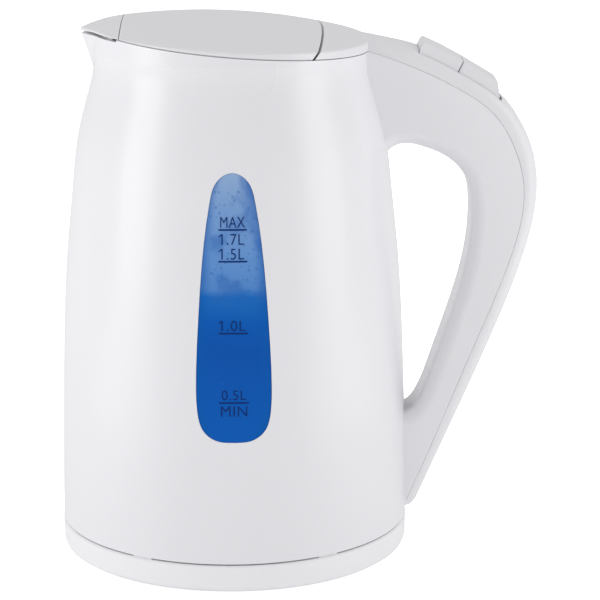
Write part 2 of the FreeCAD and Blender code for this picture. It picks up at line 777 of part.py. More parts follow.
def spout_cover(shell):
    seam_gap = mm("front_seam_gap") / 2
    wall = mm("top_wall")
    region = Part.makeCylinder(90.0, 80.0, Vector(0, 0, 200.0)).common(front_seam(-seam_gap))
    hollow = pot(wall, wall).common(front_seam(-seam_gap - wall))
    solid = shell.common(region).cut(hollow)
    legs = []
    for side in (-1, 1):
        leg = Part.makeBox(4.0, 5.0, 9.0, Vector(-55.0, side * 27.0 - 2.5, -2.8))
        legs.append(in_rim_frame(leg))
    inner = pot(mm("jug_wall") + 0.2, wall / 2).common(front_seam(-seam_gap - 0.5))
    for leg in legs:
        solid = solid.fuse(leg.common(inner))
    piece(shaped("spout_cover", solid), "spout_cover")


def lid_top(shell):
    gap = mm("front_seam_gap") / 2
    wall = mm("top_wall")
    solid = shell.cut(front_seam(gap)).cut(behind_rear_seam(0.0))
    hollow = pot(wall, wall).cut(front_seam(gap + wall)).cut(behind_rear_seam(-wall * 1.3))
    solid = solid.cut(hollow)
    # only the bevelled rim of the lid reaches below the rim's plane
    solid = solid.cut(in_rim_frame(rim_cylinder(mm("frame_radius") + 0.2, -4.0, 0.3)))
    piece(shaped("lid_top", solid), "lid_top")


def handle_cover(shell):
    wall = mm("grip_wall")
    solid = shell.common(behind_rear_seam(mm("rear_seam_gap")))
    solid = solid.cut(pot(mm("jug_wall"), mm("top_wall")))
    solid = solid.cut(grip(wall).cut(barrel(0.0)))
    port = Part.makeBox(12.0, 14.0, 14.0, Vector(53.0, -7.0, 215.5))
    solid = solid.cut(port)
    pocket_half_width = mm("pad_half_width") + mm("pad_gap")
    pocket = pad_region(-mm("pad_gap"), mm("button_length") + 23.2, 20.0, pocket_half_width, 9.5)
    solid = solid.cut(pocket)
    solid = max(solid.Solids, key=lambda s: s.Volume)
    piece(shaped("handle_cover", solid), "handle_cover")


PAD_CORNER = Vector(84.9, 0, 231.3)      # front top corner of the pad
PAD_ALONG = Vector(0.891, 0, -0.454)     # down the slope of the handle's top
PAD_OUT = Vector(0.454, 0, 0.891)        # square to the pad's face
WEDGE_SLOPE = 1.632                      # run over fall of the stem's wedge: one to one drive


def pad_point(along, out):
    return PAD_CORNER + PAD_ALONG * along + PAD_OUT * out


def pad_region(start, end, above, half_width, below):
    """A straight block over the pad, from start to end along it."""
    wire = Part.makePolygon([pad_point(start, above), pad_point(end, above), pad_point(end, -below),
                             pad_point(start, -below), pad_point(start, above)])
    return slab(wire, half_width)


def pad_block(points, half_width, edge_round):
    """A pad key from its side view, with its upper edges rounded."""
    corners = [pad_point(along, out) for along, out in points]
    solid = slab(Part.makePolygon(corners + corners[:1]), half_width)
    edges = []
    for edge in solid.Edges:
        middle = edge.valueAt((edge.FirstParameter + edge.LastParameter) / 2)
        out = (middle - PAD_CORNER).dot(PAD_OUT)
        side = abs(abs(middle.y) - half_width) < 0.001
        if side and out > -4.0 and edge.Length > 2.0:
            edges.append(edge)
    return solid.makeFillet(edge_round, edges)


def lid_button():
    length, half_width = mm("button_length"), mm("pad_half_width")
    key = pad_block([(0.0, -8.4), (0.0, -1.0), (0.9, 0.0), (length * 0.5, 0.3), (length, 0.0),
                     (length, -8.4)], half_width, 1.0)
    # the stem's lower face is a wedge that drives the latch slider back as the key goes down
    front, heel = pad_point(8.0, -8.0), pad_point(15.9, -8.3)
    tip = heel - Vector(WEDGE_SLOPE, 0, 1) * 7.0
    stem = Part.makePolygon([front, heel, tip, tip - Vector(1.5, 0, 0), front])
    piece(shaped("lid_button", key.fuse(slab(stem, 3.0))), "lid_button")
    coil("button_spring", 0.5, 2.4, 5, pad_point(3.6, -13.4), PAD_OUT)


def rocker():
    length, half_width = mm("button_length"), mm("pad_half_width")
    start = length + mm("pad_gap")
    key = pad_block([(start, -7.4), (start, 0.0), (start + 17.6, -1.3), (start + 21.6, -7.0),
                     (start + 20.8, -8.4), (start + 2.0, -8.4)], half_width, 1.0)
    pivot = Vector(mm("rocker_pivot_x"), 0, mm("rocker_pivot_z"))
    pin = mm("rocker_pin_radius")
    hub = Part.makeCylinder(pin + 1.9, 15.0, Vector(pivot.x, -7.5, pivot.z), Vector(0, 1, 0))
    web = Part.makeBox(4.2, 15.0, 6.0, Vector(pivot.x - 2.1, -7.5, pivot.z))
    tooth = Part.makeBox(2.0, 6.0, 4.6, Vector(pivot.x - 1.0, -3.0, pivot.z - 5.4))
    solid = key.fuse(hub).fuse(web).fuse(tooth)
    bore = Part.makeCylinder(pin + mm("running_gap"), 20.0, Vector(pivot.x, -10.0, pivot.z), Vector(0, 1, 0))
    piece(shaped("rocker", solid.cut(bore)), "rocker")


def switch_parts():
    """Steam switch in the handle under the rocker: cradle, pins, trip lever, bimetal disc."""
    px, pz = size("rocker_pivot_x"), size("rocker_pivot_z")
    tx, tz = size("trip_pivot_x"), size("trip_pivot_z")
    floor = block("cradle_floor", (px - 10.0, px + 5.0), (-10.4, 10.4), (tz - 6.0, tz - 4.0))
    cheeks = []
    for number, (y0, y1) in enumerate(((-10.4, -8.2), (8.2, 10.4))):
        cheeks.append(block("cheek_low%d" % number, (px - 8.0, px + 5.0), (y0, y1), (tz - 4.1, tz + 4.0)))
        cheeks.append(block("cheek_high%d" % number, (px - 2.4, px + 2.4), (y0, y1), (tz + 3.9, pz + 1.6)))
    bores = [rod("rocker_pin_seat", size("rocker_pin_radius"), 30.0, px, 15.0, pz, Vector(1, 0, 0), 90),
             rod("trip_pin_seat", size("rocker_pin_radius"), 30.0, tx, 15.0, tz, Vector(1, 0, 0), 90)]
    piece(cut("switch_cradle", joined("cradle", [floor] + cheeks), bores), "switch_cradle")
    for label, x, z in (("rocker_pin", px, pz), ("trip_pin", tx, tz)):
        piece(rod(label, size("rocker_pin_radius"), 20.8, x, 10.4, z, Vector(1, 0, 0), 90), label)
    hub = rod("trip_hub", size("rocker_pin_radius") + 1.8, 14.0, tx, 7.0, tz, Vector(1, 0, 0), 90)
    arm = block("trip_arm", (tx - 0.4, tx + 1.4), (-3.0, 3.0), (tz + 1.0, pz - 4.2))
    bore_radius = size("rocker_pin_radius") + size("running_gap")
    bore = rod("trip_bore", bore_radius, 20.0, tx, 10.0, tz, Vector(1, 0, 0), 90)
    tail = block("trip_tail", (tx - 6.6, tx - 1.0), (-3.0, 3.0), (tz - 1.0, tz + 0.8))
    piece(cut("trip_lever", joined("trip", [hub, arm, tail]), [bore]), "trip_lever")
    disc = turned("bimetal_disc", [(0, 0.6), (6.5, 0.0), (6.5, 0.4), (0, 1.0)])
    put(disc, px - 12.2, 0.0, tz + 1.0, Vector(0, 1, 0), 90)
    piece(disc, "bimetal_disc")
    mount = block("bimetal_mount", (px - 14.2, px - 12.3), (-9.0, 9.0), (tz - 7.0, tz + 9.0))
    steam_hole = rod("steam_hole", 3.0, 6.0, px - 15.0, 0.0, tz + 1.0, Vector(0, 1, 0), 90)
    piece(cut("bimetal_mount", mount, [steam_hole]), "bimetal_mount")


def latch():
    """Slider from under the button to the lid's catch, with its return spring."""
    tongue = Part.makeBox(8.0, 8.0, 1.6, Vector(37.3, -4.0, 223.8))
    front_riser = Part.makeBox(3.0, 8.0, 7.2, Vector(44.0, -4.0, 218.2))
    bar = Part.makeBox(33.0, 8.0, 3.2, Vector(44.0, -4.0, 218.2))
    rear_riser = Part.makeBox(3.5, 8.0, 11.2, Vector(73.5, -4.0, 210.2))
    head = Part.makeBox(19.5, 12.0, 3.2, Vector(73.5, -6.0, 210.2))
    slot = Part.makeBox(11.0, 6.8, 8.0, Vector(80.0, -3.4, 208.0))
    solid = bar.fuse([tongue, front_riser, rear_riser, head]).cut(slot)
    piece(shaped("latch_slider", solid.removeSplitter()), "latch_slider")


def coil(label, wire, mean_radius, turns, start, direction):
    """A close-wound coil drawn as one ribbed tube along a direction."""
    corners = []
    for number in range(turns):
        corners += [(mean_radius, 2 * wire * number), (mean_radius + wire, wire * (2 * number + 1))]
    corners += [(mean_radius, 2 * wire * turns), (mean_radius - wire, 2 * wire * turns),
                (mean_radius - wire, 0.0)]
    tube = turned(label, corners)
    tube.Placement = Placement(start, Rotation(Vector(0, 0, 1), direction))
    piece(tube, label)


# ---------------------------------------------------------------- inside the rim

def rim_cylinder(radius, low, high, u=0.0):
    return Part.makeCylinder(radius, high - low, Vector(u, 0, low))


def mouth_frame():
    """Fixed ring inside the rim: filling hole and collar, spout slot, hinge brackets."""
    hole_u, hole = mm("hole_offset"), mm("hole_radius")
    plate_low, plate_high = -3.2, -1.4
    solid = rim_cylinder(mm("frame_radius"), plate_low, plate_high)
    solid = solid.fuse(rim_cylinder(hole + 2.0, -mm("collar_depth"), plate_high, hole_u))
    solid = solid.cut(rim_cylinder(hole, -mm("collar_depth") - 1.0, 1.0, hole_u))
    spout_slot = Part.makeBox(6.2, 36.0, 6.0, Vector(-56.4, -18.0, -5.0))
    filter_slot = Part.makeBox(2.2, 42.0, 6.0, Vector(-50.4, -21.0, -5.0))
    leg_slots = [Part.makeBox(4.4, 5.4, 6.0, Vector(-55.2, side * 27.0 - 2.7, -5.0)) for side in (-1, 1)]
    catch_slot = Part.makeBox(4.9, 9.4, 6.0, Vector(33.7, -4.7, -5.0))
    spring_slot = Part.makeBox(5.6, 15.2, 6.0, Vector(49.2, -7.6, -5.0))
    arm_slots = [Part.makeBox(24.7, 7.0, 6.0, Vector(33.7, side * 16.0 - 3.5, -5.0)) for side in (-1, 1)]
    for tool in [spout_slot, filter_slot, catch_slot, spring_slot] + leg_slots + arm_slots:
        solid = solid.cut(tool)
    hinge_u, hinge_w, boss = mm("hinge_u"), mm("hinge_w"), mm("hinge_boss_radius")
    for side in (-1, 1):
        for inner in (10.0, 20.0):
            start = side * inner if side > 0 else -inner - 2.0
            post = Part.makeBox(2 * boss, 2.0, hinge_w - plate_low, Vector(hinge_u - boss, start, plate_low))
            ear = Part.makeCylinder(boss, 2.0, Vector(hinge_u, start, hinge_w), Vector(0, 1, 0))
            solid = solid.fuse(post).fuse(ear)
    bore = Part.makeCylinder(mm("hinge_pin_radius"), 60.0, Vector(hinge_u, -30.0, hinge_w), Vector(0, 1, 0))
    solid = solid.cut(bore)
    solid = max(solid.Solids, key=lambda s: s.Volume)
    piece(shaped("mouth_frame", in_rim_frame(solid)), "mouth_frame")


def hinge_parts():
    hinge_u, hinge_w, pin = mm("hinge_u"), mm("hinge_w"), mm("hinge_pin_radius")
    shaft = Part.makeCylinder(pin, 44.0, Vector(hinge_u, -22.0, hinge_w), Vector(0, 1, 0))
    piece(shaped("hinge_pin", in_rim_frame(shaft)), "hinge_pin")
    coil("hinge_spring", 0.45, pin + 0.55, 16, world_from_rim(hinge_u, -7.2, hinge_w), Vector(0, 1, 0))


SWING_INNER = 15.2     # the lid's arms and catch stay outside this radius about the hinge,
SWING_OUTER = 17.8     # because the rear cover's front edge lies just inside it


def hinge_arm(start):
    """One hooked arm from the lid's plate, down round the rear cover's edge, to the pin."""
    hinge_u, hinge_w, boss = mm("hinge_u"), mm("hinge_w"), mm("hinge_boss_radius")
    width, centre = 5.0, Vector(mm("hinge_u"), start, mm("hinge_w"))
    across = Vector(0, 1, 0)
    hoop = Part.makeCylinder(SWING_OUTER, width, centre, across)
    hoop = hoop.cut(Part.makeCylinder(SWING_INNER, width, centre, across))
    hoop = hoop.common(arm_sector(start, width))
    spoke = Part.makeBox(SWING_OUTER - 0.4, width, 2.8, Vector(-SWING_OUTER + 0.4, 0, -1.4))
    spoke.Placement = Placement(centre, Rotation(across, -ARM_DROP))
    reach = Part.makeBox(hinge_u - SWING_INNER - 28.0, width, 1.2, Vector(28.0, start, -1.0))
    step = Part.makeBox(3.0, width, 1.8, Vector(28.0, start, -1.0))
    eye = Part.makeCylinder(boss - 0.2, width, centre, across)
    return hoop.fuse([spoke, reach, step, eye])


CATCH_INNER = 16.2     # the catch's hook is thinner than its foot, which the tongue faces
ARM_DROP = 62.0        # degrees below the rim at which the arm leaves the pin


def hoop(inner, outer, width, low, high):
    """Part of a ring about the hinge, on the lid's side, between two heights over the rim."""
    centre = Vector(mm("hinge_u"), -width / 2, mm("hinge_w"))
    ring = Part.makeCylinder(outer, width, centre, Vector(0, 1, 0))
    ring = ring.cut(Part.makeCylinder(inner, width, centre, Vector(0, 1, 0)))
    return ring.common(Part.makeBox(outer, width, high - low, Vector(centre.x - outer, -width / 2, low)))


def lid_catch():
    """Hook in the middle of the lid's rear edge, just ahead of the latch slider's tongue."""
    width = 8.0
    far = mm("hinge_u") - CATCH_INNER
    reach = Part.makeBox(far - 26.0, width, 1.2, Vector(26.0, -width / 2, -1.0))
    step = Part.makeBox(4.5, width, 1.8, Vector(26.0, -width / 2, -1.0))
    hook = hoop(CATCH_INNER, SWING_OUTER, width, -8.0, 0.2)
    foot = hoop(SWING_INNER - 0.15, SWING_OUTER, width, -8.0, -6.2)
    return hook.fuse([foot, reach, step])


def arm_sector(start, width):
    """Wedge about the hinge from the arm's spoke up to the lid's plate."""
    hinge = Vector(mm("hinge_u"), start, mm("hinge_w"))
    reach = 40.0
    drop = math.radians(ARM_DROP)
    low = hinge + Vector(-reach * math.cos(drop), 0, -reach * math.sin(drop))
    corners = [hinge, low, hinge + Vector(-reach, 0, -reach), hinge + Vector(-reach, 0, 1.0),
               hinge + Vector(0, 0, 1.0), hinge]
    return Part.Face(Part.makePolygon(corners)).extrude(Vector(0, width, 0))


def lid_inner():
    """Underside of the lid: plate, plug, catch and the two hinge arms."""
    hole_u, hole = mm("hole_offset"), mm("hole_radius")
    gap, wall = mm("front_seam_gap") / 2, mm("top_wall")
    behind = behind_rear_seam(-wall * 1.3 - 0.15)
    footprint = pot(wall + 0.45, wall + 0.45).cut(front_seam(gap + wall + 0.15)).cut(behind)
    plate = in_rim_frame(rim_cylinder(90.0, 0.4, 2.2)).common(footprint)
    plug = rim_cylinder(hole - 1.5, -8.0, 0.6, hole_u).cut(rim_cylinder(hole - 3.5, -6.2, 3.0, hole_u))
    pin, boss = mm("hinge_pin_radius"), mm("hinge_boss_radius")
    hinge_u, hinge_w = mm("hinge_u"), mm("hinge_w")
    solid = plate.fuse(in_rim_frame(plug))
    for side in (-1, 1):
        solid = solid.fuse(in_rim_frame(hinge_arm(side * 16.0 - 2.5)))
    solid = solid.fuse(in_rim_frame(lid_catch()))
    bore = Part.makeCylinder(pin + mm("running_gap"), 60.0, Vector(hinge_u, -30.0, hinge_w), Vector(0, 1, 0))
    solid = solid.cut(in_rim_frame(bore))
    piece(shaped("lid_inner", solid), "lid_inner")
    seal = rim_cylinder(hole - 0.5, -6.4, -4.8, hole_u).cut(rim_cylinder(hole - 1.5, -7.0, -4.0, hole_u))
    piece(shaped("lid_seal", in_rim_frame(seal)), "lid_seal")


def spout_filter():
    """Upright frame and mesh between the chamber and the beak."""
    frame = Part.makeBox(1.8, 41.4, 27.0, Vector(-50.2, -20.7, -29.0))
    flange = Part.makeBox(4.0, 41.4, 1.0, Vector(-50.2, -20.7, -1.4))
    opening = Part.makeBox(4.0, 36.0, 21.0, Vector(-51.0, -18.0, -27.0))
    solid = frame.cut(opening)
    solid = solid.fuse(Part.makeBox(1.8, 41.4, 1.2, Vector(-50.2, -20.7, -2.6))).fuse(flange)
    piece(shaped("filter_frame", in_rim_frame(solid)), "filter_frame")
    mesh = Part.makeBox(0.4, 36.0, 21.0, Vector(-49.5, -18.0, -27.0))
    pitch, hole = 3.0, 2.4
    holes = []
    for row in range(7):
        for column in range(12):
            corner = Vector(-50.5, -17.7 + pitch * column, -26.7 + pitch * row)
            holes.append(Part.makeBox(2.0, hole, hole, corner))
    piece(shaped("filter_mesh", in_rim_frame(mesh.cut(Part.makeCompound(holes)))), "filter_mesh")


# ---------------------------------------------------------------- build, check and write

def build():
    base_shell()
    base_pads()
    base_plate()
    base_foot()
    base_screws()
    connector_post()
    base_wiring()
    coupler_socket()
    jug_body()
    water_windows()
    element_parts()
    control_parts()
    bottom_cover()
    shell = dome_shell()
    spout_cover(shell)
    lid_top(shell)
    handle_cover(shell)
    lid_button()
    rocker()
    switch_parts()
    latch()
    mouth_frame()
    hinge_parts()
    lid_inner()
    spout_filter()


def check():
    doc.recompute()
    for thing in doc.Objects:
        if "Invalid" in thing.State or "Error" in thing.State:
            raise RuntimeError("%s did not build: %s" % (thing.Name, thing.State))
    for thing in pieces:
        if thing.Shape.isNull() or not thing.Shape.isValid() or not thing.Shape.Solids:
            raise RuntimeError("%s has no valid shape" % thing.Label)


def write():
    os.makedirs("parts", exist_ok=True)
    for thing in pieces:
        thing.Shape.exportStep("parts/%s.step" % thing.Label)
        print("%-22s %9.1f mm3  %d solid(s)" % (thing.Label, thing.Shape.Volume, len(thing.Shape.Solids)))


build()
check()
write()
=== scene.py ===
import bpy
import math
from mathutils import Matrix, Vector
from mathutils.bvhtree import BVHTree


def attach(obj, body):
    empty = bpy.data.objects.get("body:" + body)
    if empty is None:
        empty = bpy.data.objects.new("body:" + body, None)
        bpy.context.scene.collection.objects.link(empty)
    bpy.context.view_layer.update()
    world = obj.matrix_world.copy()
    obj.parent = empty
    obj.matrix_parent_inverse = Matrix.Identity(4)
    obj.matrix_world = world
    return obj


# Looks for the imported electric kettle. Metres; +Z up, -X the spout side, +X the handle side.

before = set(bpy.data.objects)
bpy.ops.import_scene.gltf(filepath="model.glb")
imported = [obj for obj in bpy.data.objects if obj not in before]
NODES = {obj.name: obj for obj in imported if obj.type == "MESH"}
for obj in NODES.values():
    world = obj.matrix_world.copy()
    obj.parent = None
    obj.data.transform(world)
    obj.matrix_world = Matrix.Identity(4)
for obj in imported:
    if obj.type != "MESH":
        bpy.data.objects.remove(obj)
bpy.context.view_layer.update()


# ---------------------------------------------------------------- camera and light

CAMERA_PLACE = Vector((0.0, -1.1620, 0.4078))
CAMERA_HEADING, CAMERA_PITCH, CAMERA_ROLL = -1.49, 14.26, -0.11     # degrees: right of +Y, down, tipped
LENS, SENSOR_WIDTH = 159.03, 36.0                                   # millimetres


def add_camera():
    """A long lens a little above the kettle, looking along +Y."""
    heading, pitch, roll = (math.radians(angle) for angle in (CAMERA_HEADING, CAMERA_PITCH, CAMERA_ROLL))
    forward = Vector((-math.sin(heading) * math.cos(pitch), math.cos(heading) * math.cos(pitch),
                      -math.sin(pitch)))
    level = Vector((math.cos(heading), math.sin(heading), 0.0))
    upright = level.cross(forward)
    right = level * math.cos(roll) + upright * math.sin(roll)
    up = upright * math.cos(roll) - level * math.sin(roll)
    data = bpy.data.cameras.new("camera")
    data.lens = LENS
    data.sensor_width = SENSOR_WIDTH
    camera = bpy.data.objects.new("camera", data)
    turn = Matrix((right, up, -forward)).transposed()
    camera.matrix_world = Matrix.Translation(CAMERA_PLACE) @ turn.to_4x4()
    bpy.context.scene.collection.objects.link(camera)
    bpy.context.scene.camera = camera


def add_area_light(name, matrix, width, height, power):
    data = bpy.data.lights.new(name, "AREA")
    data.shape = "RECTANGLE"
    data.size = width
    data.size_y = height
    data.energy = power
    light = bpy.data.objects.new(name, data)
    light.matrix_world = matrix
    light.visible_camera = False
    bpy.context.scene.collection.objects.link(light)


# Side, direction in degrees from the near side, watts of the tall panel and of the strip at its foot.
LAMPS = [("left", -70.0, 7.0, 0.9), ("right", 68.0, 5.2, 0.9)]
PANEL_AWAY, PANEL_MIDDLE, PANEL_WIDTH, PANEL_HEIGHT = 1.45, 0.7, 0.75, 1.4
STRIP_AWAY, STRIP_LIFT, STRIP_WIDTH, STRIP_LENGTH = 0.85, 0.004, 0.34, 1.1


def add_lights():
    """On each side a tall soft panel, with a strip lying at its foot, and an even pale surround."""
    for side, angle, panel_power, strip_power in LAMPS:
        turn = math.radians(angle)
        away = Vector((math.sin(turn), -math.cos(turn), 0.0))
        panel = away * PANEL_AWAY + Vector((0, 0, PANEL_MIDDLE))
        facing = (-away).to_track_quat("-Z", "Y").to_matrix().to_4x4()
        add_area_light("panel_" + side, Matrix.Translation(panel) @ facing, PANEL_WIDTH, PANEL_HEIGHT,
                       panel_power)
        strip = away * STRIP_AWAY + Vector((0, 0, STRIP_LIFT))
        lying = Matrix.Rotation(turn, 4, "Z") @ Matrix.Rotation(math.pi, 4, "X")
        add_area_light("strip_" + side, Matrix.Translation(strip) @ lying, STRIP_WIDTH, STRIP_LENGTH,
                       strip_power)
    add_surround()
    bpy.context.scene.view_settings.view_transform = "Standard"


ROOM_FRONT, ROOM_BACK = 0.56, 0.70      # brightness of the surround before and behind the kettle


def add_surround():
    """A pale room, a little dimmer in front of the kettle than behind it."""
    world = bpy.data.worlds.new("surround")
    world.use_nodes = True
    tree = world.node_tree
    background = tree.nodes["Background"]
    place = tree.nodes.new("ShaderNodeTexCoord").outputs["Generated"]
    axes = tree.nodes.new("ShaderNodeSeparateXYZ")
    tree.links.new(place, axes.inputs["Vector"])
    across = tree.nodes.new("ShaderNodeMapRange")
    across.inputs["From Min"].default_value = -1.0
    across.inputs["From Max"].default_value = 0.3
    across.inputs["To Min"].default_value = ROOM_FRONT
    across.inputs["To Max"].default_value = ROOM_BACK
    tree.links.new(axes.outputs["Y"], across.inputs["Value"])
    tree.links.new(across.outputs["Result"], background.inputs["Strength"])
    background.inputs["Color"].default_value = (0.985, 0.985, 1.0, 1.0)
    bpy.context.scene.world = world


# ---------------------------------------------------------------- materials

class Nodes:
    """A material with a Principled shader, and short calls to add nodes to it."""

    def __init__(self, name):
        self.material = bpy.data.materials.new(name)
        self.material.use_nodes = True
        self.tree = self.material.node_tree
        self.shader = self.tree.nodes["Principled BSDF"]
        self.coordinates = self.tree.nodes.new("ShaderNodeTexCoord").outputs["Object"]

    def link(self, source, target):
        self.tree.links.new(source, target)
        return source

    def noise(self, scale, detail=2.0, stretch=None):
        node = self.tree.nodes.new("ShaderNodeTexNoise")
        node.inputs["Scale"].default_value = scale
        node.inputs["Detail"].default_value = detail
        self.link(self.mapped(stretch) if stretch else self.coordinates, node.inputs["Vector"])
        return node.outputs["Fac"]

    def cells(self, scale):
        node = self.tree.nodes.new("ShaderNodeTexVoronoi")
        node.inputs["Scale"].default_value = scale
        self.link(self.coordinates, node.inputs["Vector"])
        return node.outputs["Distance"]

    def mapped(self, stretch):
        node = self.tree.nodes.new("ShaderNodeMapping")
        node.inputs["Scale"].default_value = stretch
        self.link(self.coordinates, node.inputs["Vector"])
        return node.outputs["Vector"]

    def axis(self, name):
        node = self.tree.nodes.new("ShaderNodeSeparateXYZ")
        self.link(self.coordinates, node.inputs["Vector"])
        return node.outputs[name]

    def sum(self, kind, first, second):
        node = self.tree.nodes.new("ShaderNodeMath")
        node.operation = kind
        for socket, value in zip(node.inputs, (first, second)):
            if isinstance(value, (int, float)):
                socket.default_value = value
            else:
                self.link(value, socket)
        return node.outputs["Value"]

    def spread(self, value, low, high, new_low=0.0, new_high=1.0):
        node = self.tree.nodes.new("ShaderNodeMapRange")
        node.interpolation_type = "SMOOTHSTEP"
        limits = {"From Min": low, "From Max": high, "To Min": new_low, "To Max": new_high}
        for name, number in limits.items():
            node.inputs[name].default_value = number
        self.link(value, node.inputs["Value"])
        return node.outputs["Result"]

    def ramp(self, value, stops):
        node = self.tree.nodes.new("ShaderNodeValToRGB")
        ramp = node.color_ramp
        while len(ramp.elements) < len(stops):
            ramp.elements.new(0.5)
        for element, (place, colour) in zip(ramp.elements, stops):
            element.position = place
            element.color = (*colour, 1.0)
        self.link(value, node.inputs["Fac"])
        return node.outputs["Color"]

    def mix(self, amount, first, second):
        node = self.tree.nodes.new("ShaderNodeMix")
        node.data_type = "RGBA"
        sockets = (node.inputs["Factor"], node.inputs[6], node.inputs[7])
        for socket, value in zip(sockets, (amount, first, second)):
            if isinstance(value, tuple):
                socket.default_value = (*value, 1.0)
            elif isinstance(value, (int, float)):
                socket.default_value = value
            else:
                self.link(value, socket)
        return node.outputs[2]

    def bump(self, height, distance, strength=1.0, after=None):
        node = self.tree.nodes.new("ShaderNodeBump")
        node.inputs["Distance"].default_value = distance
        node.inputs["Strength"].default_value = strength
        self.link(height, node.inputs["Height"])
        if after:
            self.link(after, node.inputs["Normal"])
        return node.outputs["Normal"]

    def edges(self, radius, low, high):
        """1 along sharp edges and 0 on open faces, from the bevelled normal."""
        bevel = self.tree.nodes.new("ShaderNodeBevel")
        bevel.samples = 4
        bevel.inputs["Radius"].default_value = radius
        geometry = self.tree.nodes.new("ShaderNodeNewGeometry")
        product = self.tree.nodes.new("ShaderNodeVectorMath")
        product.operation = "DOT_PRODUCT"
        self.link(bevel.outputs["Normal"], product.inputs[0])
        self.link(geometry.outputs["Normal"], product.inputs[1])
        return self.spread(product.outputs["Value"], high, low)


def moulded_plastic(name, colour, roughness, coat, grain, wear=0.5):
    """Injection-moulded plastic: flow marks, fine grain and paler edges."""
    made = Nodes(name)
    flow = made.noise(9.0, 2.0, (1.0, 1.0, 0.6))
    speck = made.noise(420.0, 2.0)
    darker = tuple(channel * 0.985 for channel in colour)
    tint = made.mix(made.spread(flow, 0.1, 0.9), darker, colour)
    tint = made.mix(made.spread(speck, 0.62, 0.80, 0.0, 0.012), tint, tuple(c * 0.8 for c in colour))
    worn = made.edges(0.0008, 0.80, 0.98)
    paler = tuple(min(1.0, channel * 1.04 + 0.01) for channel in colour)
    tint = made.mix(made.sum("MULTIPLY", worn, wear), tint, paler)
    made.link(tint, made.shader.inputs["Base Color"])
    rough = made.spread(flow, 0.1, 0.9, roughness, roughness + 0.02)
    made.link(rough, made.shader.inputs["Roughness"])
    wave = made.bump(flow, 0.0001, 0.05)
    made.link(made.bump(made.noise(1500.0, 1.0), grain, 0.03, wave), made.shader.inputs["Normal"])
    made.shader.inputs["Coat Weight"].default_value = coat
    made.shader.inputs["Coat Roughness"].default_value = 0.26
    made.shader.inputs["IOR"].default_value = 1.47
    return made.material


def metal(name, colour, roughness, brushed=(1.0, 1.0, 30.0)):
    """Stamped or turned metal with fine brushing and faint staining."""
    made = Nodes(name)
    stain = made.noise(45.0, 4.0)
    lines = made.noise(160.0, 3.0, brushed)
    tint = made.mix(made.spread(stain, 0.4, 0.7), colour, tuple(c * 0.82 for c in colour))
    made.link(tint, made.shader.inputs["Base Color"])
    made.link(made.spread(lines, 0.3, 0.7, roughness, roughness + 0.18), made.shader.inputs["Roughness"])
    made.link(made.bump(lines, 0.00004, 0.5), made.shader.inputs["Normal"])
    made.shader.inputs["Metallic"].default_value = 1.0
    return made.material


def rubber(name, colour):
    made = Nodes(name)
    dust = made.noise(70.0, 4.0)
    made.link(made.mix(made.spread(dust, 0.45, 0.75), colour, tuple(c * 1.5 + 0.02 for c in colour)),
              made.shader.inputs["Base Color"])
    made.link(made.spread(dust, 0.3, 0.7, 0.62, 0.8), made.shader.inputs["Roughness"])
    made.link(made.bump(made.noise(700.0, 2.0), 0.00005, 0.5), made.shader.inputs["Normal"])
    return made.material


# Colour of the window up its height, from share 0 at its foot to 1 at its top: deep water, the water's
# surface at about 0.55, and the misted pane above it.
WINDOW_COLOURS = [
    (0.0, (0.0, 0.112, 0.500)), (0.35, (0.0, 0.088, 0.430)), (0.46, (0.0, 0.105, 0.470)),
    (0.545, (0.010, 0.150, 0.530)), (0.572, (0.090, 0.250, 0.600)), (0.65, (0.120, 0.290, 0.640)),
    (0.82, (0.190, 0.350, 0.660)), (1.0, (0.310, 0.450, 0.680))]
WINDOW_FOOT, WINDOW_TOP, WATER_LEVEL = 0.066, 0.188, 0.131
# Half the window's width at the same shares, as a part of WIDEST.
WINDOW_WIDTHS = [(0.0, 0.30), (0.10, 0.70), (0.20, 0.81), (0.44, 0.76), (0.70, 0.64), (0.88, 0.49),
                 (0.96, 0.30)]
WIDEST = 0.020
RIM_BLUE, DROP_BLUE, SPLASH_BLUE, FROTH_BLUE = ((0.0, 0.105, 0.430), (0.035, 0.14, 0.44),
                                                (0.02, 0.13, 0.46), (0.05, 0.25, 0.62))


